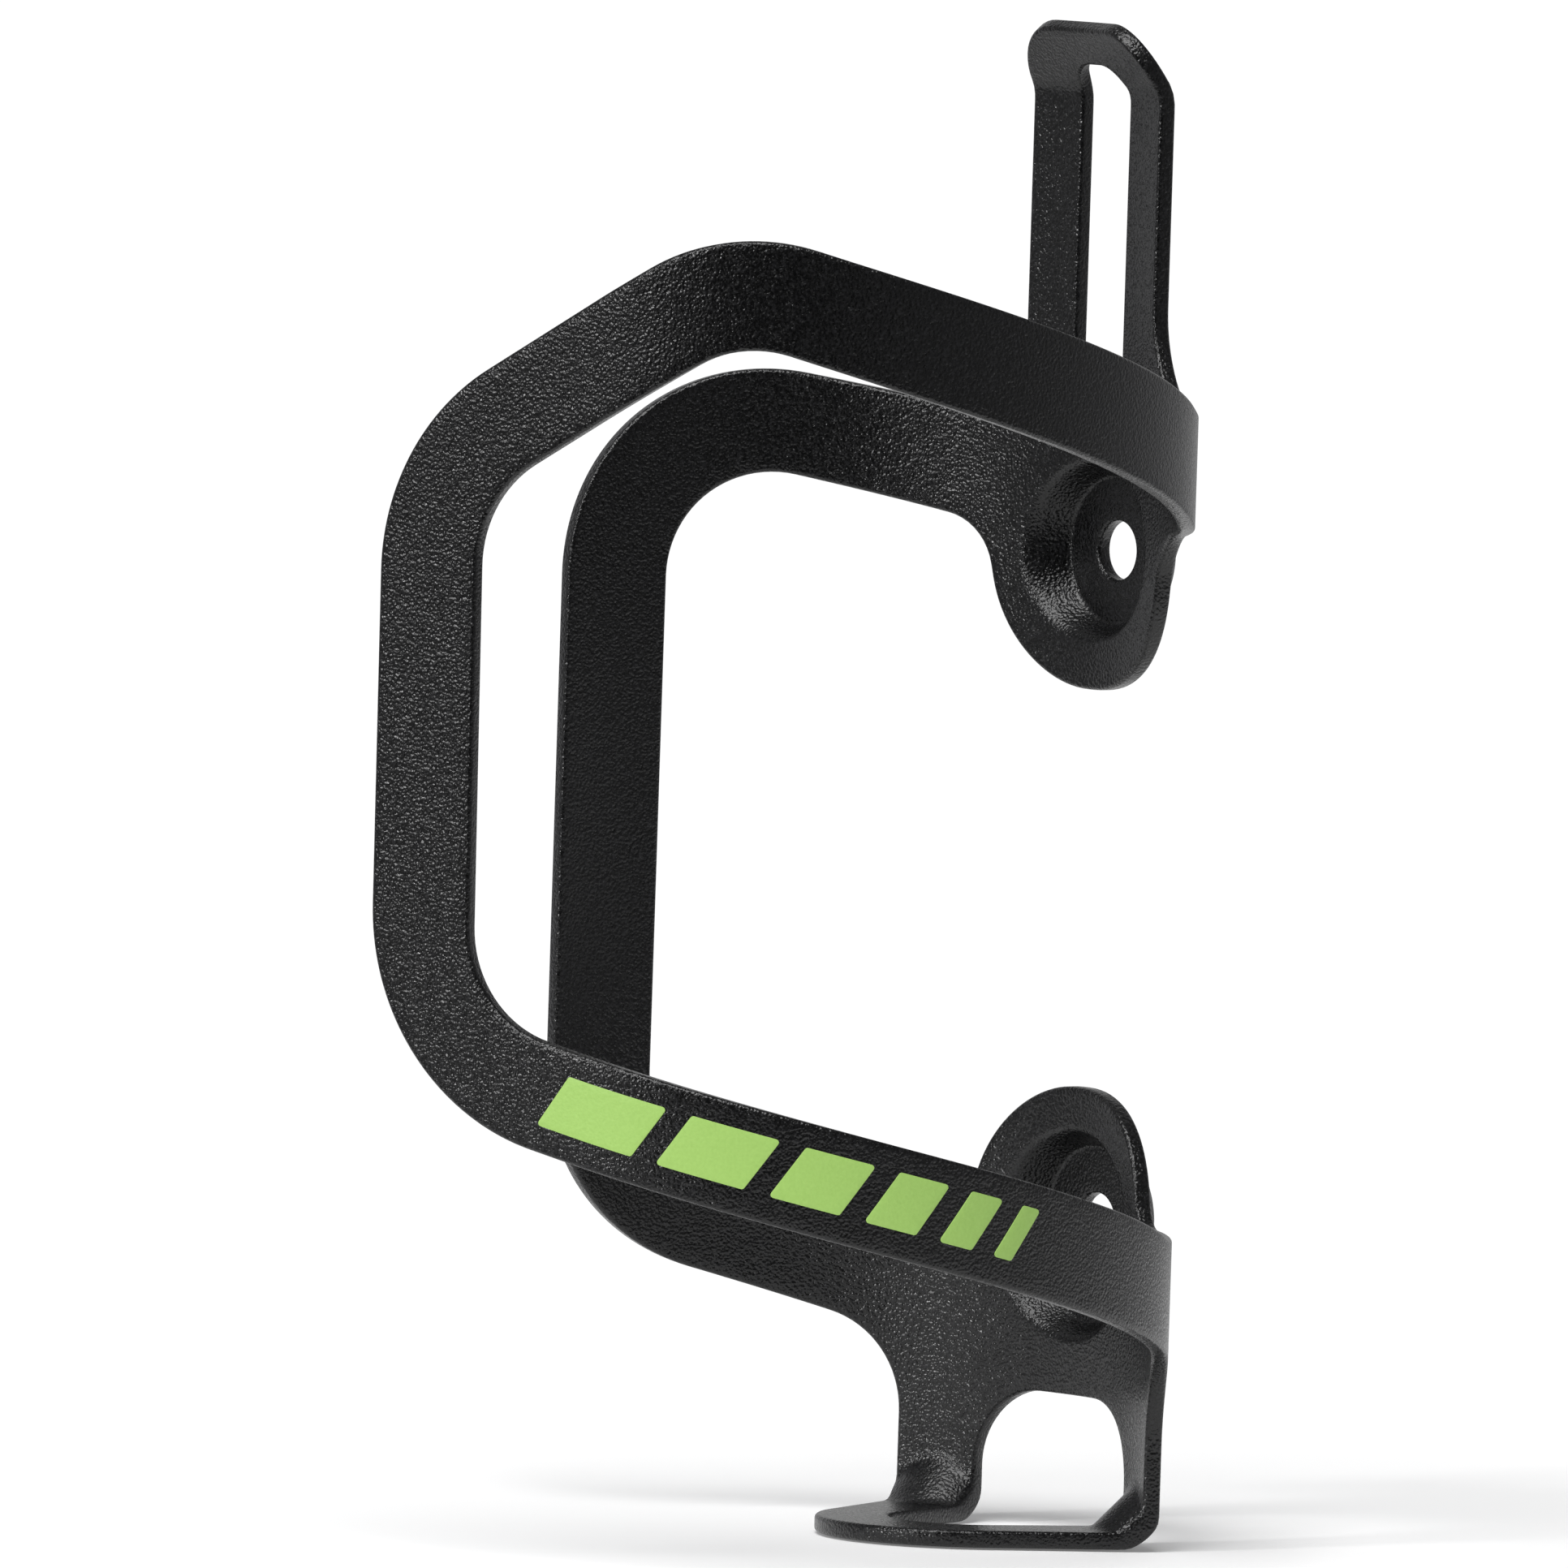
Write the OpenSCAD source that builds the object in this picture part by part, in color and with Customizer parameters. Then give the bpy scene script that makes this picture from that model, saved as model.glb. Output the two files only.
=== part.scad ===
// Side-entry bottle cage for a bicycle frame.
// One blank of aluminium sheet, cut, rolled to the bottle and pressed, then
// powder coated. A short tongue, two looped arms and a foot are all the same
// sheet. Six flat ink marks are printed on the long arm's lower leg.
// Units are millimetres. Z runs up the bottle, the frame tube is on +Y and the
// bottle on -Y. The origin is the upper bolt hole, on the face that meets the
// tube.

/* [Sheet and bottle] */
// Radius of the sheet's bottle side, sprung slightly closed on a 73 mm bottle
bottle_radius = 36.3; // [35.8:0.1:37.2]
// Thickness of the aluminium sheet
sheet = 1.6; // [1.4:0.1:1.9]

/* [Bolt bosses] */
// Distance between the two bolt holes
bolt_spacing = 64; // [63:0.5:65]
// Diameter of the holes, clearance for an M5 screw
bolt_hole = 5.5; // [5.3:0.1:6.0]
// How far the lower hole is lengthened, centre to centre, for adjustment
slot_travel = 2.2; // [1.6:0.1:3.0]
// Depth each boss is pressed back from the bottle side
boss_depth = 2.8; // [2.4:0.1:3.2]
// Radius of the pressed recess where it meets the sheet
boss_rim = 8.1; // [7.6:0.1:8.6]
// Radius of the flat floor of the recess
boss_floor = 6.35; // [6.0:0.05:6.6]
// How far the lower recess is lengthened, centre to centre
boss_travel = 2.7; // [2.3:0.1:3.2]

/* [Tongue] */
// Width of the tongue
tongue_width = 19.4; // [18.4:0.2:20.4]
// Width of the slot cut down its middle
tongue_slot = 7.0; // [6.4:0.1:7.6]
// Height of the tongue's tip above the upper bolt hole
tongue_tip = 49.3; // [48:0.1:50.5]
// How far the tip leans over the bottle
lip_lean = 34; // [28:1:38]

/* [Arms] */
// Angle round the bottle at which the long arm runs off straight
arm_straight = 154; // [150:1:157]

/* [Foot] */
// Depth of the foot's upper face below the upper bolt hole
foot_depth = 90.2; // [89.4:0.1:91]
// Bend radius on the upper side, where the legs turn into the foot
foot_bend = 1.5; // [1.2:0.1:2.0]
// Radius of the foot's rounded nose
nose_radius = 13.6; // [13:0.1:14]
// Radius of the rib pressed across each leg's bend
gusset_radius = 6.6; // [6.2:0.1:7.0]

/* [Printed marks] */
// Height of the six slanted marks
mark_height = 4.6; // [4.2:0.1:6.6]
// Thickness of the ink
ink = 0.12; // [0.1:0.01:0.2]
// Gap between neighbouring marks
mark_gap = 2.2; // [1.8:0.1:2.4]

/* [Hidden] */
$fn = 96;

black = [0.09, 0.09, 0.10];
green = [0.55, 0.78, 0.35];

// The rest is drawn about the bottle's axis, with z = 0 midway between the
// bolts, and moved to the bolt hole at the end.
R = bottle_radius;
Ro = R + sheet;
half = bolt_spacing / 2;
floor_y = R + boss_depth;
back_y = floor_y + sheet;
foot_top = half - foot_depth;
tip_z = half + tongue_tip;
run_off = R * arm_straight * PI / 180;
steps = 7;

// ---- flat pattern helpers -------------------------------------------------
// A point of the flat pattern is [s, z]: s along the sheet's bottle side from
// its middle line, z up. n is the distance off that side, away from the bottle.
function bent(p, n) =
    p[0] > run_off
    ? let (a = arm_straight)
      [(R + n) * sin(a) + (p[0] - run_off) * cos(a),
       (R + n) * cos(a) - (p[0] - run_off) * sin(a), p[1]]
    : let (a = p[0] / R * 180 / PI) [(R + n) * sin(a), (R + n) * cos(a), p[1]];

// A corner at b between a and c rounded to radius r, as steps + 1 points.
function corner(a, b, c, r) =
    r == 0 ? [b] :
    let (u = (a - b) / norm(a - b), v = (c - b) / norm(c - b),
         w = acos(u * v) / 2,
         o = b + (u + v) / norm(u + v) * r / sin(w),
         p = b + u * r / tan(w), q = b + v * r / tan(w),
         t0 = atan2(p[1] - o[1], p[0] - o[0]),
         t1 = atan2(q[1] - o[1], q[0] - o[0]),
         dt = (t1 - t0 + 900) % 360 - 180)
    [for (i = [0:steps]) o + r * [cos(t0 + dt * i / steps), sin(t0 + dt * i / steps)]];

// One edge: vertices [s, z, radius], and the number of pieces in each run.
function edge(v, cuts) =
    let (k = len(v) - 1,
         c = [for (i = [0:k])
              let (b = [v[i][0], v[i][1]],
                   a = i == 0 ? b : [v[i - 1][0], v[i - 1][1]],
                   d = i == k ? b : [v[i + 1][0], v[i + 1][1]])
              corner(a, b, d, i == 0 || i == k ? 0 : v[i][2])])
    [for (i = [0:k]) each concat(c[i], i == k ? [] :
        let (p = c[i][len(c[i]) - 1], q = c[i + 1][0])
        [for (j = [1:1:cuts[i] - 1]) p + (q - p) * j / cuts[i]])];

function flipped(e) = [for (p = e) [-p[0], p[1]]];

// A block that spans the sheet between two edges, cut square to its faces.
module between(a, b, lo = -8, hi = 8) {
    m = (a + b) / 2;
    k = len(a) - 1;
    pts = [for (i = [0:k]) each [bent(a[i], lo), bent(m[i], lo), bent(b[i], lo),
                                 bent(b[i], hi), bent(m[i], hi), bent(a[i], hi)]];
    sides = [for (i = [0:k - 1]) for (j = [0:5])
             let (p = i * 6 + j, q = i * 6 + (j + 1) % 6)
             each [[p, q, q + 6], [p, q + 6, p + 6]]];
    e = k * 6;
    ends = [[0, 5, 4], [0, 4, 1], [1, 4, 3], [1, 3, 2],
            [e, e + 1, e + 4], [e, e + 4, e + 5], [e + 1, e + 2, e + 3], [e + 1, e + 3, e + 4]];
    polyhedron(points = pts, faces = concat(sides, ends), convexity = 6);
}

// ---- outline of the flat pattern ------------------------------------------
tw = tongue_width / 2;

// Upper plate and tongue, one side, from the rounded lower end to the tip.
upper_side = edge([
    [0.5, 18.95, 0], [10.5, 19.0, 12.5], [13.8, 33.9, 6], [22, 35.3, 0],
    [22, 44.6, 0], [tw, 44.9, 5], [tw, tip_z, 5.2], [0.5, tip_z + 0.05, 0]],
    [1, 1, 1, 2, 1, 8, 1]);

// Lower plate and legs, from the rounded upper end to where the foot begins.
leg_out = 19.8;
bend_z = foot_top + foot_bend + 3;
lower_side = edge([
    [0.5, -18.15, 0], [10.0, -18.2, 12.5], [13.3, -30.3, 3], [26, -30.4, 0],
    [26, -41.0, 0], [leg_out + 0.1, -42.85, 8.5], [leg_out - 0.2, bend_z - 2.3, 0]],
    [1, 1, 1, 3, 1, 2]);

// Long arm: upper edge of the loop and its inner edge, in step.
long_outer = edge([
    [14, 44.9, 0], [27, 46.35, 30], [86.5, 63.8, 18.5], [120.05, 42.9, 22],
    [119.65, -17.44, 22.5], [25, -41.05, 0]],
    [2, 12, 4, 8, 18]);
long_inner = edge([
    [14, 33.9, 0], [26, 35.4, 30], [85.05, 53.1, 10], [110.15, 37.6, 11],
    [109.65, -9.78, 10.5], [25, -31.05, 0]],
    [2, 12, 4, 8, 18]);

// Short arm on the other side of the bottle.
short_outer = flipped(edge([
    [14, 44.1, 0], [54.4, 50.4, 22], [54.45, -32.9, 20.5], [25, -41.25, 0]],
    [8, 8, 6]));
short_inner = flipped(edge([
    [14, 33.8, 0], [44.3, 39.4, 11.5], [44.4, -26.0, 9], [25, -30.8, 0]],
    [8, 8, 6]));

// ---- the sheet, before it is trimmed --------------------------------------
lip_in = 4.2;
lip_z = tip_z - 6.2 - lip_in * tan(lip_lean / 2);

// Section of the sheet from the foot, up the wall, to the leaning lip.
module sheet_section() {
    fo = foot_bend + sheet;
    fx = R - foot_bend;
    fz = foot_top + foot_bend;
    lx = R - lip_in;
    far = 12;
    polygon(concat(
        [[4, foot_top]],
        [for (i = [0:6]) [fx + foot_bend * sin(i * 15), fz - foot_bend * cos(i * 15)]],
        [for (i = [0:6]) [lx + lip_in * cos(i * lip_lean / 6), lip_z + lip_in * sin(i * lip_lean / 6)]],
        [[lx + lip_in * cos(lip_lean) - far * sin(lip_lean), lip_z + lip_in * sin(lip_lean) + far * cos(lip_lean)],
         [lx + (lip_in + sheet) * cos(lip_lean) - far * sin(lip_lean), lip_z + (lip_in + sheet) * sin(lip_lean) + far * cos(lip_lean)]],
        [for (i = [6:-1:0]) [lx + (lip_in + sheet) * cos(i * lip_lean / 6), lip_z + (lip_in + sheet) * sin(i * lip_lean / 6)]],
        [for (i = [6:-1:0]) [fx + fo * sin(i * 15), fz - fo * cos(i * 15)]],
        [[4, foot_top - sheet]]));
}

// Rolled wall, swept from the short arm round to where the long arm straightens.
module rolled_sheet() {
    rotate([0, 0, 90 - arm_straight])
        rotate_extrude(angle = arm_straight + 100) sheet_section();
}

// Flat run at the free end of the long arm.
module straight_run(lo, hi) {
    rotate([0, 0, -arm_straight])
        translate([0, R + lo, -60]) cube([24, hi - lo, 140]);
}

// ---- foot -----------------------------------------------------------------
// Plan of the foot: the legs' width at the bend, tapering to a round nose.
nose_y = 24.3;
leg_a = leg_out / R * 180 / PI;
module foot_plan() {
    b = [R * sin(leg_a) * 0.97, R * cos(leg_a) * 0.97];
    d = norm([b[0], b[1] - nose_y]);
    t = atan2(b[1] - nose_y, b[0]) - acos(nose_radius / d);
    polygon(concat(
        [[(Ro + 6) * sin(leg_a), (Ro + 6) * cos(leg_a)], b],
        [for (i = [0:24]) let (g = t + (-180 - 2 * t) * i / 24)
            [nose_radius * cos(g), nose_y + nose_radius * sin(g)]],
        [[-b[0], b[1]], [-(Ro + 6) * sin(leg_a), (Ro + 6) * cos(leg_a)], [0, Ro + 14]]));
}

// Plan of the opening through the foot, which carries on up between the legs.
win_half = 11.45;
win_front = 7.3;
win_y = 25.3;
module foot_opening() {
    a = win_half / R * 180 / PI;
    b = [R * sin(a) * 0.96, R * cos(a) * 0.96];
    d = norm([b[0], b[1] - win_y]);
    t = atan2(b[1] - win_y, b[0]) - acos(win_front / d);
    polygon(concat(
        [[(Ro + 8) * sin(a), (Ro + 8) * cos(a)], b],
        [for (i = [0:18]) let (g = t + (-180 - 2 * t) * i / 18)
            [win_front * cos(g), win_y + win_front * sin(g)]],
        [[-b[0], b[1]], [-(Ro + 8) * sin(a), (Ro + 8) * cos(a)]]));
}

window_side = edge([
    [0.5, -46.95, 0], [win_half + 0.1, -47.0, 7.3], [win_half - 0.25, bend_z - 2.8, 0]],
    [1, 1]);

// Rib pressed across the bend of one leg. Its rounded crest stands rib_rise
// into the corner and runs down at 45 degrees from the leg to the foot.
rib_rise = 2.9;
module leg_rib(r, side) {
    back = (gusset_radius - rib_rise) / sqrt(2);
    rotate([0, 0, -side * (leg_out + win_half) / 2 / R * 180 / PI])
        translate([0, R + back, foot_top - back])
            rotate([-45, 0, 0]) translate([0, 0, -8]) cylinder(h = 16, r = r);
}

// ---- bosses ---------------------------------------------------------------
// A cone along Y, lengthened by e up and down.
module cup(y0, y1, r0, r1, e) {
    for (s = e > 0 ? [-1, 1] : [0])
        translate([0, y0, s * e]) rotate([-90, 0, 0]) cylinder(h = y1 - y0, r1 = r0, r2 = r1);
    if (e > 0)
        translate([0, 0, -e]) linear_extrude(height = 2 * e)
            polygon([[-r0, y0], [r0, y0], [r1, y1], [-r1, y1]]);
}

// Slope of the recess wall, carried on past the sheet on both sides.
wall = (boss_rim - boss_floor) / boss_depth;
skin = 1.25;

module boss_outside(e) {
    difference() {
        cup(R - 1.6, back_y, boss_rim + skin + wall * 1.6, boss_floor + skin - wall * sheet * 0.4, e);
        translate([0, 0, -20]) cylinder(h = 40, r = R + sheet * 0.45);
    }
}

module boss_recess(e) {
    cup(R - 4, floor_y, boss_rim + wall * 4, boss_floor, e);
}

module bolt_bore(e) {
    cup(floor_y - 1, back_y + 1, bolt_hole / 2, bolt_hole / 2, e);
}

// ---- sub-parts ------------------------------------------------------------
module blank() {
    intersection() {
        union() {
            rolled_sheet();
            straight_run(0, sheet);
        }
        difference() {
            union() {
                between(upper_side, flipped(upper_side), -9, 10);
                between(flipped(lower_side), lower_side, -9.5, 10.5);
                between(long_inner, long_outer, -5, 5);
                between(short_outer, short_inner, -5.5, 5.5);
                translate([0, 0, foot_top - 6]) linear_extrude(height = bend_z - foot_top + 9.2) foot_plan();
            }
            between(flipped(window_side), window_side, -12, 12);
            translate([0, 0, foot_top - 8]) linear_extrude(height = bend_z - foot_top + 8) foot_opening();
        }
    }
}

module place() {
    translate([0, -back_y, -half]) children();
}

// Slot down the tongue: straight sides and a round top and bottom.
slot_low = half + 14;
slot_top = half + 45.6;
slot_side = edge([
    [0.2, slot_low - 0.05, 0], [tongue_slot / 2, slot_low, 3.1], [tongue_slot / 2, slot_top, 2.7], [0.2, slot_top + 0.05, 0]],
    [1, 6, 1]);

module cage_body() {
    color(black) place() difference() {
        union() {
            blank();
            translate([0, 0, half]) boss_outside(0);
            translate([0, 0, -half]) boss_outside(boss_travel / 2);
            intersection() {
                union() { leg_rib(gusset_radius, 1); leg_rib(gusset_radius, -1); }
                difference() {
                    translate([0, 0, foot_top - sheet / 2]) cylinder(h = 12, r = R + sheet / 2);
                    translate([0, 0, foot_top - 8]) linear_extrude(height = 30) foot_opening();
                }
                translate([0, 0, foot_top - 8]) linear_extrude(height = 30) foot_plan();
            }
        }
        leg_rib(gusset_radius - sheet, 1);
        leg_rib(gusset_radius - sheet, -1);
        between(slot_side, flipped(slot_side), -12, 8);
        translate([0, 0, half]) { boss_recess(0); bolt_bore(0); }
        translate([0, 0, -half]) { boss_recess(boss_travel / 2); bolt_bore(slot_travel / 2); }
    }
}

// Middle line of the long arm's lower leg, which the marks follow.
function leg_mid(s) = -13.6 + 0.2515 * (s - 114.2);
widths = [9.4, 7.9, 6.3, 4.8, 3.3, 2.0];
function mark_start(i) = i == 0 ? 100.5 : mark_start(i - 1) - widths[i - 1] - mark_gap;

// One slanted mark: its top edge is set nearer the tube than its bottom edge.
module mark(i) {
    s1 = mark_start(i);
    s0 = s1 - widths[i];
    k = ceil(widths[i] / 2.4);
    h = mark_height / 2;
    lean = 3.2;
    a = [for (j = [0:k]) let (s = s0 + (s1 - s0) * j / k) [s + lean / 2, leg_mid(s) - h]];
    b = [for (j = [0:k]) let (s = s0 + (s1 - s0) * j / k) [s - lean / 2, leg_mid(s) + h]];
    color(green) place() intersection() {
        union() {
            rotate([0, 0, 90 - arm_straight])
                rotate_extrude(angle = arm_straight + 100)
                    translate([Ro, -50]) square([ink, 60]);
            straight_run(sheet, sheet + ink);
        }
        between(a, b, sheet - 0.8, sheet + 2);
    }
}

module ink_mark_1() mark(0);
module ink_mark_2() mark(1);
module ink_mark_3() mark(2);
module ink_mark_4() mark(3);
module ink_mark_5() mark(4);
module ink_mark_6() mark(5);

cage_body();
ink_mark_1();
ink_mark_2();
ink_mark_3();
ink_mark_4();
ink_mark_5();
ink_mark_6();
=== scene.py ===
import math
import bpy
import numpy as np
from mathutils import Matrix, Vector
from mathutils.geometry import delaunay_2d_cdt


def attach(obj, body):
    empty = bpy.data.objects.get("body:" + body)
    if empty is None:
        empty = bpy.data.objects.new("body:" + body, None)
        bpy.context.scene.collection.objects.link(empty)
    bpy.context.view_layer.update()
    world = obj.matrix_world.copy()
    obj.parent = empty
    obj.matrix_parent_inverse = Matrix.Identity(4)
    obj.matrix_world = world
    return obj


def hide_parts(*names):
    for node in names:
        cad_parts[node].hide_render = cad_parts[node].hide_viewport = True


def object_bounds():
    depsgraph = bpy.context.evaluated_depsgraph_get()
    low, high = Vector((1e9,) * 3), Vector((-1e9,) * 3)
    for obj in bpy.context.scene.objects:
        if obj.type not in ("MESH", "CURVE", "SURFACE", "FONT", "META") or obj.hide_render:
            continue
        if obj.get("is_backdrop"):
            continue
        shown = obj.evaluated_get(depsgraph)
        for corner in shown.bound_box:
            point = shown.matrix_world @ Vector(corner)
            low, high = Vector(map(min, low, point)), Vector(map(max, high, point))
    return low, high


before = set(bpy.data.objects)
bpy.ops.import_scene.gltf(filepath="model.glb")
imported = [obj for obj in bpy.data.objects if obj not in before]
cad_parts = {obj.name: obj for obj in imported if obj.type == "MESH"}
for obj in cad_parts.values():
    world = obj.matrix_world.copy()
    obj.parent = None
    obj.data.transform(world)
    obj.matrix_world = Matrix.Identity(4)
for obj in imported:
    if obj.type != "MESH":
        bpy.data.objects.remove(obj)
cad_lo, cad_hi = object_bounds()

# ---------------------------------------------------------------- dimensions
# Millimetres, about the bottle's axis, z = 0 midway between the bolts, the
# tube on +Y: the same frame that part.scad draws in before it places the part.
R, T = 36.3, 1.6
HALF = 32.0
FLOOR_Y, BACK_Y = R + 2.8, R + 2.8 + T
FOOT = HALF - 90.2
TIP = HALF + 49.3
ARM = math.radians(154)
RUN = R * ARM
BEND = 1.5
LIP_R, LIP_A = 4.2, math.radians(34)
LIP_Z = TIP - 6.2 - LIP_R * math.tan(LIP_A / 2)
EDGE = 0.36
TRAVEL = 2.7 / 2
HOLE, SLOT = 2.75, 1.1
LEG_OUT, LEG_IN = 19.75, 11.45
JOIN_Z = FOOT + BEND


def smax(a, b, k):
    h = np.clip(1 - np.abs(a - b) / k, 0, None)
    return np.maximum(a, b) + h * h * k / 4


def smin(a, b, k):
    return -smax(-a, -b, k)


# ------------------------------------------------------- flat pattern -> space
def wall(p, n):
    """Flat pattern point (s, z) and depth n off the bottle side, to space."""
    p = np.atleast_2d(np.asarray(p, float))
    s, z = p[:, 0], p[:, 1]
    n = np.broadcast_to(np.asarray(n, float), s.shape)
    # section of the sheet: upright, then the lip's bend and its straight lean
    z1 = LIP_Z + LIP_R * math.sin(LIP_A)
    a = np.where(z < LIP_Z, 0.0, np.where(z > z1, LIP_A, np.arcsin(np.clip((z - LIP_Z) / LIP_R, 0, 1))))
    r = np.where(z < LIP_Z, R, np.where(z > z1, R - LIP_R + LIP_R * math.cos(LIP_A) - (z - z1) * math.tan(LIP_A),
                                        R - LIP_R + LIP_R * np.cos(a)))
    off = n - 0.5 * T * (a > 0)
    r = r + n * np.cos(a)
    z = z + (n - 0.5 * T) * np.sin(a)
    phi = np.minimum(s / R, ARM)
    over = np.maximum(s - RUN, 0)
    x = r * np.sin(phi) + over * math.cos(ARM)
    y = r * np.cos(phi) - over * math.sin(ARM)
    # pressed bosses: a dish with a flat floor, sunk towards the tube
    f = n / T
    for zc, e in ((HALF, 0.0), (-HALF, TRAVEL)):
        rho = np.hypot(x, np.maximum(np.abs(z - zc) - e, 0))
        near = (rho < 13) & (y > 25)
        y_in = np.sqrt(np.maximum(R * R - x * x, 0))
        y_out = np.sqrt(np.maximum((R + T) ** 2 - x * x, 0))
        d_in = smax(y_in, smin(FLOOR_Y, FLOOR_Y - (rho - 6.95) * 1.95, 0.3), 0.85) - y_in
        d_out = smax(y_out, smin(BACK_Y, BACK_Y - (rho - 7.2) * 1.6, 0.9), 1.1) - y_out
        y = y + np.where(near, d_in * (1 - f) + d_out * f, 0)
    return ribs(np.stack([x, y, z], 1), n)


def ribs(q, n):
    """Rib pressed at 45 degrees across the corner of each leg and the foot."""
    q = q.copy()
    c = math.sqrt(0.5)
    for side in (1, -1):
        a = side * (LEG_OUT + LEG_IN) / 2 / R
        w = q[:, 0] * math.cos(a) - q[:, 1] * math.sin(a)
        rr = q[:, 0] * math.sin(a) + q[:, 1] * math.cos(a)
        h = ((R - rr) + (q[:, 2] - FOOT)) * c
        top = -3.7 + np.sqrt(np.maximum(6.6 ** 2 - w * w, 0))
        low = -3.7 + np.sqrt(np.maximum(5.0 ** 2 - w * w, 0))
        aim = top + (low - top) * n / T
        near = (np.abs(w) < 4.9) & (rr > 20) & (q[:, 2] < FOOT + 12) & (q[:, 2] > FOOT - 3)
        lift = np.where(near, smax(h, aim, 0.7) - h, 0)
        q[:, 0] -= lift * c * math.sin(a)
        q[:, 1] -= lift * c * math.cos(a)
        q[:, 2] += lift * c
    return q


def bend(p, n):
    """Leg's bend: (s, angle of turn) and depth n, to space."""
    p = np.atleast_2d(np.asarray(p, float))
    n = np.broadcast_to(np.asarray(n, float), (len(p),))
    r = R - BEND + (BEND + n) * np.cos(p[:, 1])
    z = JOIN_Z - (BEND + n) * np.sin(p[:, 1])
    phi = p[:, 0] / R
    return ribs(np.stack([r * np.sin(phi), r * np.cos(phi), z], 1), n)


def foot(p, n):
    """Foot plane: (x, y) and depth n below its upper face, to space."""
    p = np.atleast_2d(np.asarray(p, float))
    n = np.broadcast_to(np.asarray(n, float), (len(p),))
    return ribs(np.stack([p[:, 0], p[:, 1], FOOT - n], 1), n)


# ------------------------------------------------------------------ outlines
def rounded(v, gap=0.8, close=False):
    """Polyline through vertices (a, b, radius), corners as arcs, evenly split."""
    v = [np.array(p, float) for p in v]
    n = len(v)
    out = []
    for i, p in enumerate(v):
        b, r = p[:2], p[2]
        if r == 0 or (not close and i in (0, n - 1)):
            out.append([b])
            continue
        a, c = v[i - 1][:2], v[(i + 1) % n][:2]
        u, w = (a - b) / np.linalg.norm(a - b), (c - b) / np.linalg.norm(c - b)
        h = math.acos(max(-1, min(1, float(u @ w)))) / 2
        o = b + (u + w) / np.linalg.norm(u + w) * r / math.sin(h)
        p0, p1 = b + u * r / math.tan(h), b + w * r / math.tan(h)
        t0 = math.atan2(*(p0 - o)[::-1])
        dt = (math.atan2(*(p1 - o)[::-1]) - t0 + 5 * math.pi) % (2 * math.pi) - math.pi
        k = max(3, math.ceil(abs(dt) * r / min(gap, max(0.25, 0.14 * r))))
        out.append([o + r * np.array([math.cos(t0 + dt * j / k), math.sin(t0 + dt * j / k)]) for j in range(k + 1)])
    pts = []
    for i in range(n if close else n - 1):
        pts += out[i]
        a, b = out[i][-1], out[(i + 1) % n][0]
        k = max(1, math.ceil(np.linalg.norm(b - a) / gap))
        pts += [a + (b - a) * j / k for j in range(1, k)]
    if not close:
        pts += out[-1]
    pts = np.array(pts)
    keep = np.ones(len(pts), bool)
    keep[1:] = np.linalg.norm(np.diff(pts, axis=0), axis=1) > 1e-4
    return pts[keep]


# Everything outside the sheet's outline lies to the right of these, and the
# sheet to the left: the outer line anticlockwise, holes clockwise.
outer_long = rounded([
    [LEG_OUT, JOIN_Z, 0], [LEG_OUT, -42.75, 9.5], [119.65, -17.44, 22.5], [120.05, 42.9, 22],
    [86.5, 63.8, 18.5], [27, 46.35, 30], [9.7, 44.65, 9.5], [9.7, TIP - 0.27, 4.6],
    [-9.7, TIP - 0.27, 5.2], [-9.7, 44.8, 4.5], [-17.2, 44.62, 8], [-54.4, 50.95, 19.5], [-54.45, -33.2, 19.5],
    [-LEG_OUT, -42.8, 9.5], [-LEG_OUT, JOIN_Z, 0]])
window_line = rounded([[-LEG_IN, JOIN_Z, 0], [-LEG_IN, -47.0, 7.4], [LEG_IN, -47.0, 7.4], [LEG_IN, JOIN_Z, 0]])
middle_hole = rounded([
    [10.2, 19.0, 12.0], [13.5, 33.85, 6], [26, 35.4, 30], [85.05, 53.1, 10], [110.15, 37.6, 11],
    [109.65, -9.78, 10.5], [27.6, -30.4, 20], [13.0, -30.3, 3], [9.7, -18.18, 12.0], [-10.0, -18.18, 12.5],
    [-13.3, -30.3, 3], [-26.6, -30.4, 15], [-44.4, -26.0, 9], [-44.3, 39.85, 10], [-13.8, 33.85, 6],
    [-10.5, 19.0, 12.5]], close=True)
tongue_slot = rounded([[-3.5, HALF + 14, 3.1], [3.5, HALF + 14, 3.1], [3.5, HALF + 45.6, 2.7],
                       [-3.5, HALF + 45.6, 2.7]], gap=0.6, close=True)[::-1]


def ring(zc, e, rho, k):
    """Points round a bolt axis at radius rho, lengthened by e, in the flat pattern."""
    t = np.arange(k) * 2 * math.pi / k
    x, z = rho * np.cos(t), rho * np.sin(t)
    z = z + e * np.sign(np.round(z, 9))
    if e:
        m = max(2, round(2 * e / 0.7))
        for s in (-1, 1):
            x = np.append(x, np.full(m - 1, s * rho))
            z = np.append(z, [-e + 2 * e * j / m for j in range(1, m)])
        order = np.argsort(np.arctan2(z / (rho + e), x / rho), kind="stable")
        x, z = x[order], z[order]
    return np.stack([R * np.arcsin(x / R), zc + z], 1)


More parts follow.
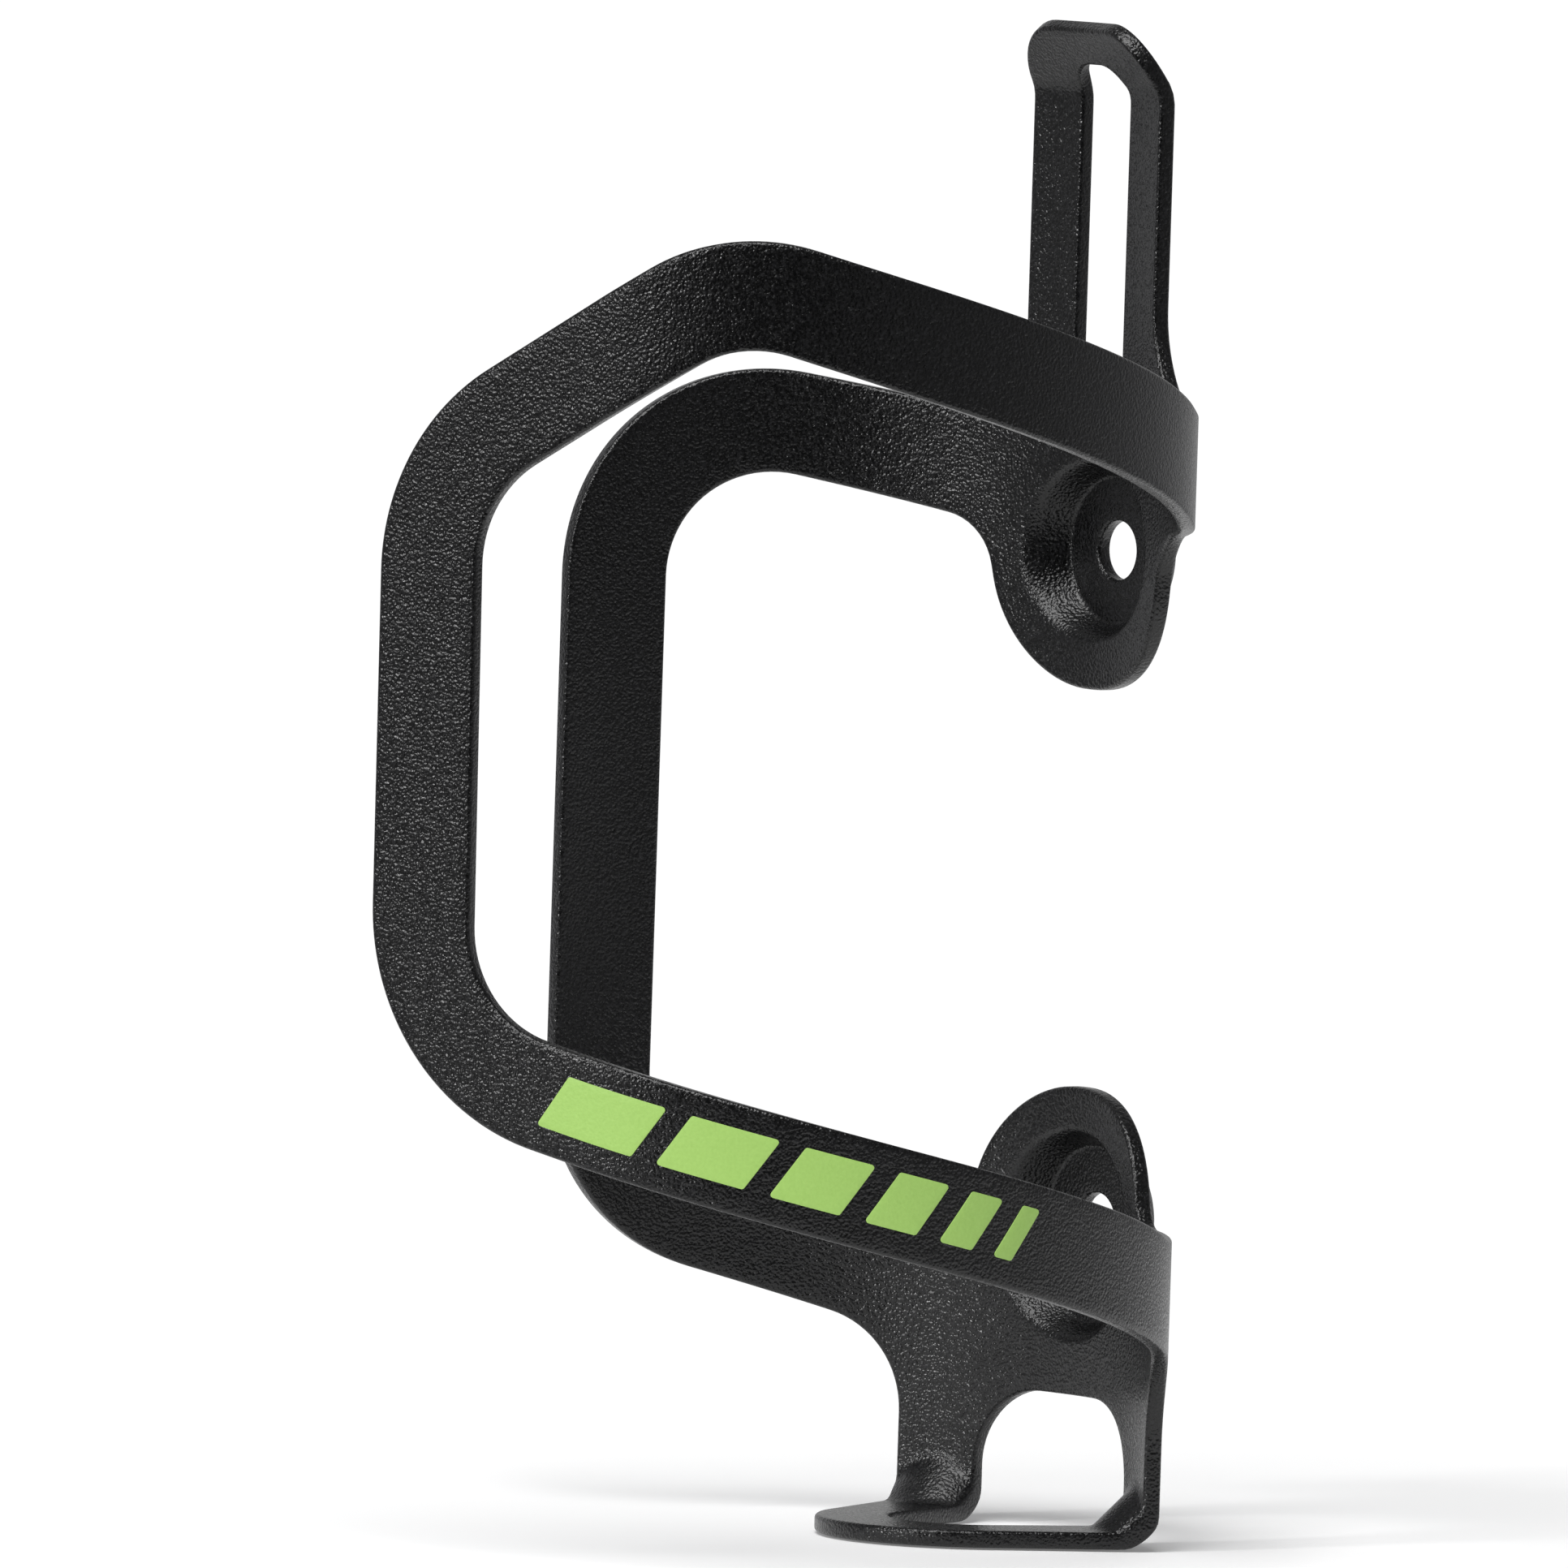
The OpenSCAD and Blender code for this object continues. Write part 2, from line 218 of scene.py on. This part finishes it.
def stadium(zc, e, rho, k):
    """The same, in order round the hole, clockwise."""
    pts = []
    for j in range(k // 2 + 1):
        t = math.pi * j / (k // 2)
        pts.append((rho * math.cos(t), e + rho * math.sin(t)))
    for j in range(k // 2 + 1):
        t = math.pi + math.pi * j / (k // 2)
        pts.append((rho * math.cos(t), -e + rho * math.sin(t)))
    pts = np.array(pts)
    keep = np.ones(len(pts), bool)
    for i in range(len(pts)):
        if np.linalg.norm(pts[i] - pts[i - 1]) < 1e-6:
            keep[i] = False
    pts = pts[keep]
    return np.stack([R * np.arcsin(pts[:, 0] / R), zc + pts[:, 1]], 1)[::-1]


def normals(line, close, first=None, last=None):
    """Unit normals towards the sheet, which lies left of the line."""
    n = len(line)
    d = np.zeros_like(line)
    for i in range(n):
        a = line[i - 1] if (close or i > 0) else None
        c = line[(i + 1) % n] if (close or i < n - 1) else None
        u = np.zeros(2)
        if a is not None:
            u += (line[i] - a) / np.linalg.norm(line[i] - a)
        if c is not None:
            u += (c - line[i]) / np.linalg.norm(c - line[i])
        d[i] = u / np.linalg.norm(u)
    m = np.stack([-d[:, 1], d[:, 0]], 1)
    if first is not None:
        m[0] = first
    if last is not None:
        m[-1] = last
    return m


def inside(p, loops):
    """Even-odd test of points against closed loops."""
    c = np.zeros(len(p), bool)
    for q in loops:
        a, b = q, np.roll(q, -1, 0)
        for (x0, y0), (x1, y1) in zip(a, b):
            hit = ((y0 > p[:, 1]) != (y1 > p[:, 1]))
            if y0 != y1:
                c ^= hit & (p[:, 0] < (x1 - x0) * (p[:, 1] - y0) / (y1 - y0) + x0)
    return c


def clearance(p, lines):
    """Distance from each point to the nearest boundary point."""
    d = np.full(len(p), 1e9)
    for q in lines:
        for k in range(0, len(p), 4000):
            e = p[k:k + 4000, None, :] - q[None, :, :]
            d[k:k + 4000] = np.minimum(d[k:k + 4000], np.sqrt((e ** 2).sum(2)).min(1))
    return d


# --------------------------------------------------------------- sheet maker
EDGE_STEPS = 4


class Mesh:
    def __init__(self):
        self.v, self.f, self.n = [], [], 0

    def add(self, pts):
        self.v.append(pts)
        self.n += len(pts)
        return self.n - len(pts)


def sheet_patch(mesh, to_space, lines, grid, thick=T, edge=EDGE, base=0.0, gap=0.45):
    """Adds one patch of sheet: both faces and the rounded cut edges.

    lines: (points, closed, first normal, last normal, is a cut edge). Open
    lines follow each other head to tail and close into one outer loop."""
    pts, segs, loops, cuts = [], [], [], []
    count = 0
    outer = []
    for line, close, first, last, cut in lines:
        m = normals(line, close, first, last)
        inset = line + m * edge if cut else line
        idx = list(range(count, count + len(line)))
        count += len(line)
        pts.append(inset)
        if close:
            segs += [(idx[i], idx[(i + 1) % len(idx)]) for i in range(len(idx))]
            loops.append(inset)
        else:
            segs += [(idx[i], idx[i + 1]) for i in range(len(idx) - 1)]
            outer.append(inset)
        if cut:
            cuts.append((line, m, idx, close))
    if outer:
        loops.append(np.concatenate(outer))
    rim = np.concatenate(pts)
    grid = grid[inside(grid, loops)]
    grid = grid[clearance(grid, [rim]) > gap]
    every = np.concatenate([rim, grid])
    vc, _, tris, orig, _, _ = delaunay_2d_cdt([tuple(p) for p in every], segs, [], 0, 1e-7)
    vc = np.array([tuple(v) for v in vc])
    where = {}
    for k, olds in enumerate(orig):
        for o in olds:
            where[o] = k
    tris = np.array([t for t in tris if len(t) == 3])
    mid = vc[tris].mean(1)
    tris = tris[inside(mid, loops)]
    low = mesh.add(to_space(vc, base))
    high = mesh.add(to_space(vc, base + thick))
    a, b, c = vc[tris[:, 0]], vc[tris[:, 1]], vc[tris[:, 2]]
    area = (b[:, 0] - a[:, 0]) * (c[:, 1] - a[:, 1]) - (b[:, 1] - a[:, 1]) * (c[:, 0] - a[:, 0])
    tris = tris[np.abs(area) > 3e-4]
    area = area[np.abs(area) > 3e-4]
    tris[area < 0] = tris[area < 0][:, ::-1]
    for t in tris:
        mesh.f.append(tuple(int(i) + low for i in t))
        mesh.f.append(tuple(int(i) + high for i in t[::-1]))
    steps = [(edge * (1 - math.sin(t)), edge * (1 - math.cos(t)))
             for t in (math.pi / 2 * j / EDGE_STEPS for j in range(EDGE_STEPS + 1))]
    prof = steps + [(o, thick - n) for o, n in reversed(steps)]
    for line, m, idx, close in cuts:
        cols = [[where[i] + low for i in idx]]
        for o, n in prof[1:-1]:
            start = mesh.add(to_space(line + m * o, base + n))
            cols.append(list(range(start, start + len(line))))
        cols.append([where[i] + high for i in idx])
        k = len(line)
        for i in range(k if close else k - 1):
            j = (i + 1) % k
            for p, q in zip(cols[:-1], cols[1:]):
                mesh.f.append((p[i], q[i], q[j], p[j]))


def square_grid(x0, x1, y0, y1, step):
    nx, ny = max(2, round((x1 - x0) / step)), max(2, round((y1 - y0) / step))
    gx, gy = np.meshgrid(np.linspace(x0, x1, nx + 1), np.linspace(y0, y1, ny + 1))
    return np.stack([gx.ravel(), gy.ravel()], 1)


def to_object(name, mesh, weld=1e-6):
    v = np.concatenate(mesh.v) + np.array([0, -BACK_Y, -HALF])
    data = bpy.data.meshes.new(name)
    data.from_pydata((v / 1000).tolist(), [], mesh.f)
    import bmesh
    bm = bmesh.new()
    bm.from_mesh(data)
    bmesh.ops.remove_doubles(bm, verts=bm.verts, dist=weld)
    bmesh.ops.dissolve_degenerate(bm, edges=bm.edges, dist=1e-7)
    bmesh.ops.recalc_face_normals(bm, faces=bm.faces)
    for f in bm.faces:
        f.smooth = True
    bm.to_mesh(data)
    bm.free()
    data.update()
    ob = bpy.data.objects.new(name, data)
    bpy.context.scene.collection.objects.link(ob)
    return ob


# ------------------------------------------------------------------ the body
body = Mesh()
grid = [square_grid(-60, 124, JOIN_Z, 84, 1.05)]
bosses = ((HALF, 0.0), (-HALF, TRAVEL))
g = grid[0]
x = R * np.sin(np.clip(g[:, 0] / R, -1.5, 1.5))
keep = np.ones(len(g), bool)
for zc, e in bosses:
    keep &= ~((np.hypot(x, np.maximum(np.abs(g[:, 1] - zc) - e, 0)) < 10.7) & (np.abs(g[:, 0]) < 14))
# finer where the ribs and the lip are
fine = (g[:, 1] < JOIN_Z + 5.6) | ((g[:, 1] > LIP_Z - 1) & (np.abs(g[:, 0]) < 12))
grid = [g[keep & ~fine], square_grid(-20, 20, JOIN_Z + 0.4, JOIN_Z + 5.6, 0.42), square_grid(-10, 10, LIP_Z - 1, TIP, 0.6)]
rings = [3.7, 4.7, 5.6, 6.2, 6.55, 6.75, 6.9, 7.05, 7.2, 7.4, 7.65, 7.9, 8.1, 8.3, 8.5, 8.7, 8.95, 9.3, 9.8, 10.4]
for zc, e in bosses:
    for rho in rings:
        grid.append(ring(zc, e, rho, 84))
side = np.array([1.0, 0.0])
k = 14
join_r = np.stack([np.linspace(LEG_IN, LEG_OUT, k + 1), np.full(k + 1, JOIN_Z)], 1)
join_r[0, 0] += EDGE
join_r[-1, 0] -= EDGE
join_l = np.stack([-join_r[::-1, 0], join_r[:, 1]], 1)
sheet_patch(body, wall, [
    (outer_long, False, -side, side, True),
    (join_l, False, None, None, False),
    (window_line, False, -side, side, True),
    (join_r, False, None, None, False),
    (middle_hole, True, None, None, True),
    (tongue_slot, True, None, None, True),
    (stadium(HALF, 0.0, HOLE, 48), True, None, None, True),
    (stadium(-HALF, SLOT, HOLE, 48), True, None, None, True)], np.concatenate(grid))

# the legs' bends: the lines run the way that keeps the sheet on their left
turn = 8
for sgn in (1, -1):
    q = np.linspace(0, math.pi / 2, turn + 1)
    lo_s, hi_s = (LEG_IN, LEG_OUT) if sgn > 0 else (-LEG_OUT, -LEG_IN)
    row = join_r[:, 0] if sgn > 0 else join_l[:, 0]
    # drawn in a stretched copy of the plane so that depth offsets stay lengths
    ss = np.concatenate([[row[0]], row[1:-1], [row[-1]]])
    cols = []
    base = {}
    for n0, key in ((0.0, "in"), (T, "out")):
        pts = np.array([[s, a] for a in q for s in ss])
        base[key] = body.add(bend(pts, n0))
    w = len(ss)
    for i in range(turn):
        for j in range(w - 1):
            a, b, c, d = i * w + j, i * w + j + 1, (i + 1) * w + j + 1, (i + 1) * w + j
            body.f.append(tuple(base["in"] + t for t in (a, d, c, b)))
            body.f.append(tuple(base["out"] + t for t in (a, b, c, d)))
    steps = [(EDGE * (1 - math.sin(t)), EDGE * (1 - math.cos(t)))
             for t in (math.pi / 2 * j / EDGE_STEPS for j in range(EDGE_STEPS + 1))]
    prof = steps + [(o, T - n) for o, n in reversed(steps)]
    for s_edge, direction in ((lo_s, 1), (hi_s, -1)):
        cols = []
        for o, n0 in prof:
            start = body.add(bend(np.array([[s_edge + direction * o, a] for a in q]), n0))
            cols.append(range(start, start + turn + 1))
        for i in range(turn):
            for p, r_ in zip(cols[:-1], cols[1:]):
                body.f.append((p[i], r_[i], r_[i + 1], p[i + 1]))


# the foot
def polar(s, r):
    return np.array([r * math.sin(s / R), r * math.cos(s / R)])


RB = R - BEND
NOSE_Y, NOSE_R, FRONT_Y, FRONT_R = 24.3, 13.6, 25.3, 7.3


def round_end(b, cy, r, k):
    """From corner b round the circle to its mirror image, by its low side."""
    d = math.hypot(b[0], b[1] - cy)
    t = math.atan2(b[1] - cy, b[0]) - math.acos(r / d)
    end = [np.array([r * math.cos(g), cy + r * math.sin(g)]) for g in
           (t + (-math.pi - 2 * t) * i / k for i in range(k + 1))]
    m = max(2, math.ceil(np.linalg.norm(end[0] - b) / 0.7))
    first = [b + (end[0] - b) * i / m for i in range(m)]
    pts = first + end
    return np.array(pts + [np.array([-p[0], p[1]]) for p in reversed(first)])


out_line = round_end(polar(LEG_OUT, RB), NOSE_Y, NOSE_R, 60)          # +X to -X round the nose
in_line = round_end(polar(LEG_IN, RB), FRONT_Y, FRONT_R, 40)
arc_r = np.array([polar(s, RB) for s in join_r[:, 0]])                 # inner to outer, +X leg
arc_l = np.array([polar(s, RB) for s in join_l[:, 0]])                 # outer to inner, -X leg


def sideways(s, sign):
    a = s / R
    return np.array([math.cos(a), -math.sin(a)]) * sign


fg = square_grid(-20, 20, 9, 36, 0.9)
fr = np.hypot(fg[:, 0], fg[:, 1])
fine_foot = square_grid(-20, 20, 24, 36, 0.42)
ffr = np.hypot(fine_foot[:, 0], fine_foot[:, 1])
foot_grid = np.concatenate([fg[fr < 30.5], fine_foot[(ffr >= 30.5) & (ffr < RB - 0.25)]])
# the sheet lies left of each line: the nose from -X round to +X, the opening back
sheet_patch(body, lambda p, n: foot(p, n), [
    (out_line[::-1], False, sideways(-LEG_OUT, 1), sideways(LEG_OUT, -1), True),
    (arc_r[::-1], False, None, None, False),
    (in_line, False, sideways(LEG_IN, 1), sideways(-LEG_IN, -1), True),
    (arc_l[::-1], False, None, None, False)], foot_grid)

shell = to_object("cage_sheet", body, 2e-5)


# ----------------------------------------------------------------- the marks
def leg_mid(s):
    return -13.6 + 0.2515 * (s - 114.2)


widths = [9.4, 7.9, 6.3, 4.8, 3.3, 2.0]
marks = []
s1 = 100.5
for i, wd in enumerate(widths):
    s0 = s1 - wd
    h, lean = 2.3, 3.2
    corner = [(s0 + lean / 2, leg_mid(s0) - h), (s1 + lean / 2, leg_mid(s1) - h),
              (s1 - lean / 2, leg_mid(s1) + h), (s0 - lean / 2, leg_mid(s0) + h)]
    line = rounded([[a, b, 0.3] for a, b in corner], gap=0.6, close=True)
    m = Mesh()
    lo, hi = line.min(0), line.max(0)
    sheet_patch(m, wall, [(line, True, None, None, True)], square_grid(lo[0], hi[0], lo[1], hi[1], 0.8),
                thick=0.09, edge=0.035, base=T - 0.02, gap=0.3)
    marks.append(to_object(f"green_mark_{i + 1}", m))
    s1 = s0 - 2.2

# ----------------------------------------------------------------- materials


def material(name, colour, rough):
    mat = bpy.data.materials.new(name)
    mat.use_nodes = True
    nt = mat.node_tree
    b = nt.nodes["Principled BSDF"]
    b.inputs["Base Color"].default_value = (*colour, 1)
    b.inputs["Roughness"].default_value = rough
    return mat, nt, b


def node(nt, kind, **sets):
    n = nt.nodes.new(kind)
    for key, val in sets.items():
        if hasattr(n, key):
            setattr(n, key, val)
        else:
            n.inputs[key].default_value = val
    return n


def wrinkle(nt, strength, distance):
    """Fine wrinkle of a powder coat: grains 0.15 to 0.3 mm across."""
    co = node(nt, "ShaderNodeTexCoord")
    n1 = node(nt, "ShaderNodeTexNoise", Scale=3300.0, Detail=1.0, Roughness=0.55)
    n2 = node(nt, "ShaderNodeTexVoronoi", Scale=3900.0)
    n2.feature = "SMOOTH_F1"
    nt.links.new(co.outputs["Object"], n1.inputs["Vector"])
    nt.links.new(co.outputs["Object"], n2.inputs["Vector"])
    mix = node(nt, "ShaderNodeMath", operation="ADD")
    nt.links.new(n1.outputs["Fac"], mix.inputs[0])
    nt.links.new(n2.outputs["Distance"], mix.inputs[1])
    bump = node(nt, "ShaderNodeBump", Strength=strength, Distance=distance)
    nt.links.new(mix.outputs[0], bump.inputs["Height"])
    return co, n1, bump


coat, nt, b = material("powder_coat", (0.008, 0.008, 0.009), 0.42)
b.inputs["Specular IOR Level"].default_value = 0.5
co, n1, bump = wrinkle(nt, 1.0, 0.00007)
# painted highlight: the grain tops get a lighter base colour than the hollows, standing in for the glints that the
# grains catch; the wrinkle relief itself comes from the bump
grain_glint_mask = node(nt, "ShaderNodeMapRange")
grain_glint_mask.inputs["From Min"].default_value = 0.52
grain_glint_mask.inputs["From Max"].default_value = 0.66
grain_glint_tint = node(nt, "ShaderNodeMix", data_type="RGBA")
grain_glint_tint.inputs[6].default_value = (0.0008, 0.0008, 0.0010, 1)
grain_glint_tint.inputs[7].default_value = (0.0075, 0.0075, 0.0084, 1)
nt.links.new(n1.outputs["Fac"], grain_glint_mask.inputs["Value"])
nt.links.new(grain_glint_mask.outputs["Result"], grain_glint_tint.inputs[0])
nt.links.new(grain_glint_tint.outputs[2], b.inputs["Base Color"])
nt.links.new(bump.outputs["Normal"], b.inputs["Normal"])
ramp = node(nt, "ShaderNodeMapRange")
ramp.inputs["From Min"].default_value = 0.3
ramp.inputs["From Max"].default_value = 0.7
ramp.inputs["To Min"].default_value = 0.25
ramp.inputs["To Max"].default_value = 0.33
nt.links.new(n1.outputs["Fac"], ramp.inputs["Value"])
nt.links.new(ramp.outputs["Result"], b.inputs["Roughness"])

green, ntg, bg = material("green_ink", (0.36, 0.60, 0.13), 0.5)
cog, ng, bumpg = wrinkle(ntg, 0.35, 0.00005)
ntg.links.new(bumpg.outputs["Normal"], bg.inputs["Normal"])
tone = node(ntg, "ShaderNodeMix", data_type="RGBA")
tone.inputs[6].default_value = (0.33, 0.56, 0.12, 1)
tone.inputs[7].default_value = (0.40, 0.64, 0.16, 1)
ntg.links.new(ng.outputs["Fac"], tone.inputs[0])
ntg.links.new(tone.outputs[2], bg.inputs["Base Color"])

shell.data.materials.append(coat)
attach(shell, "root")
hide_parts("cage_body")
for i, o in enumerate(marks):
    o.data.materials.append(green)
    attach(o, "root")
    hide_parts(f"ink_mark_{i + 1}")
for name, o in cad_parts.items():
    o.data.materials.clear()
    o.data.materials.append(green if name.startswith("ink") else coat)

# ------------------------------------------------------- stage, light, camera
z_floor = cad_lo.z - 0.0002
bpy.ops.mesh.primitive_plane_add(size=0.38, location=(0, 0, z_floor))
floor = bpy.context.object
floor.name = "floor"
fm, fnt, fb = material("floor_paper", (0.93, 0.93, 0.93), 0.9)
fb.inputs["Specular IOR Level"].default_value = 0.0
fb.inputs["Emission Color"].default_value = (1, 1, 1, 1)
fb.inputs["Emission Strength"].default_value = 0.15
floor.data.materials.append(fm)
floor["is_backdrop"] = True

world = bpy.data.worlds.new("studio")
bpy.context.scene.world = world
world.use_nodes = True
bpy.context.scene.view_settings.view_transform = "Standard"
# A studio round the object: white paper behind, a dark gap in front, a tall
# soft panel on the picture's left and a weak one on its right. The ramp runs
# round the horizon, from straight behind, past the right, the front and the left.
ROUND = [(-180, 0.7), (-135, 0.42), (-90, 0.36), (-55, 0.24), (-29, 0.21), (-12, 0.09), (0, 0.01), (15, 0.02),
         (25, 0.06), (36, 0.2), (53, 0.26), (70, 0.22), (83, 0.3), (105, 0.36), (125, 0.58), (150, 0.65), (180, 0.7)]
TOP_LIGHT = 1.0
wnt = world.node_tree
back = wnt.nodes["Background"]
way = wnt.nodes.new("ShaderNodeTexCoord")
front = wnt.nodes.new("ShaderNodeVectorMath")
front.operation = "DOT_PRODUCT"
front.inputs[1].default_value = (0.793, -0.609, 0)
left = wnt.nodes.new("ShaderNodeVectorMath")
left.operation = "DOT_PRODUCT"
left.inputs[1].default_value = (-0.609, -0.793, 0)
turn_at = wnt.nodes.new("ShaderNodeMath")
turn_at.operation = "ARCTAN2"
span = wnt.nodes.new("ShaderNodeMapRange")
span.inputs["From Min"].default_value = -math.pi
span.inputs["From Max"].default_value = math.pi
ramp_w = wnt.nodes.new("ShaderNodeValToRGB")
ramp_w.color_ramp.interpolation = "EASE"
els = ramp_w.color_ramp.elements
els[0].position, els[0].color = 0.0, (ROUND[0][1] / TOP_LIGHT,) * 3 + (1,)
els[1].position, els[1].color = 1.0, (ROUND[-1][1] / TOP_LIGHT,) * 3 + (1,)
for deg, val in ROUND[1:-1]:
    e = els.new((deg + 180) / 360)
    e.color = (val / TOP_LIGHT, val / TOP_LIGHT, val / TOP_LIGHT * 1.02, 1)
wnt.links.new(way.outputs["Generated"], front.inputs[0])
wnt.links.new(way.outputs["Generated"], left.inputs[0])
wnt.links.new(left.outputs["Value"], turn_at.inputs[0])
wnt.links.new(front.outputs["Value"], turn_at.inputs[1])
wnt.links.new(turn_at.outputs[0], span.inputs["Value"])
wnt.links.new(span.outputs["Result"], ramp_w.inputs["Fac"])
wnt.links.new(ramp_w.outputs["Color"], back.inputs["Color"])
height = wnt.nodes.new("ShaderNodeSeparateXYZ")
dim = wnt.nodes.new("ShaderNodeMapRange")
dim.inputs["From Min"].default_value = 0.25
dim.inputs["From Max"].default_value = 0.85
dim.inputs["To Min"].default_value = TOP_LIGHT
dim.inputs["To Max"].default_value = TOP_LIGHT * 0.35
wnt.links.new(way.outputs["Generated"], height.inputs[0])
wnt.links.new(height.outputs["Z"], dim.inputs["Value"])
wnt.links.new(dim.outputs["Result"], back.inputs["Strength"])
plain = wnt.nodes.new("ShaderNodeBackground")
plain.inputs["Color"].default_value = (1, 1, 1, 1)
plain.inputs["Strength"].default_value = 1.05
seen = wnt.nodes.new("ShaderNodeLightPath")
pick = wnt.nodes.new("ShaderNodeMixShader")
wnt.links.new(seen.outputs["Is Camera Ray"], pick.inputs[0])
wnt.links.new(back.outputs[0], pick.inputs[1])
wnt.links.new(plain.outputs[0], pick.inputs[2])
wnt.links.new(pick.outputs[0], wnt.nodes["World Output"].inputs["Surface"])

# the photograph's camera, in the row frame
th, el, ro = math.radians(52.4736), math.radians(3.4433), math.radians(1.809)
c = np.array([math.cos(el) * math.sin(th), -math.cos(el) * math.cos(th), math.sin(el)])
right = np.array([math.cos(th), math.sin(th), 0.0])
up = np.cross(c, right)
target = 0.6723 * right + np.array([0, 0, 10.6218]) + np.array([0, -BACK_Y, -HALF])
r2 = math.cos(ro) * right + math.sin(ro) * up
u2 = -math.sin(ro) * right + math.cos(ro) * up
place = (target + 2484.95 * c) / 1000
cam_data = bpy.data.cameras.new("camera")
cam = bpy.data.objects.new("camera", cam_data)
bpy.context.scene.collection.objects.link(cam)
cam_data.sensor_width = 36
cam_data.lens = 36 * 33112.44 / 1932
cam_data.clip_start, cam_data.clip_end = 0.1, 20
m = Matrix(((r2[0], u2[0], c[0], place[0]), (r2[1], u2[1], c[1], place[1]), (r2[2], u2[2], c[2], place[2]), (0, 0, 0, 1)))
cam.matrix_world = m
bpy.context.scene.camera = cam


def area(name, at, aim, size, power):
    d = bpy.data.lights.new(name, "AREA")
    d.shape = "RECTANGLE"
    d.size, d.size_y = size
    d.energy = power
    o = bpy.data.objects.new(name, d)
    bpy.context.scene.collection.objects.link(o)
    v = np.array(aim, float) - np.array(at, float)
    from mathutils import Vector
    o.location = at
    o.rotation_mode = "QUATERNION"
    o.rotation_quaternion = Vector(v).to_track_quat("-Z", "Y")
    return o


def sun(name, towards, strength, width):
    d = bpy.data.lights.new(name, "SUN")
    d.energy = strength
    d.angle = math.radians(width)
    o = bpy.data.objects.new(name, d)
    bpy.context.scene.collection.objects.link(o)
    from mathutils import Vector
    o.rotation_mode = "QUATERNION"
    o.rotation_quaternion = (-Vector(towards)).to_track_quat("-Z", "Y")
    return o


# a low light on the picture's left that the grains catch, and a broad high one
sun("key", (0.0, -0.95, 0.3), 1.0, 7)
sun("top", (0.25, -0.45, 0.86), 2.5, 40)

lo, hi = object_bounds()
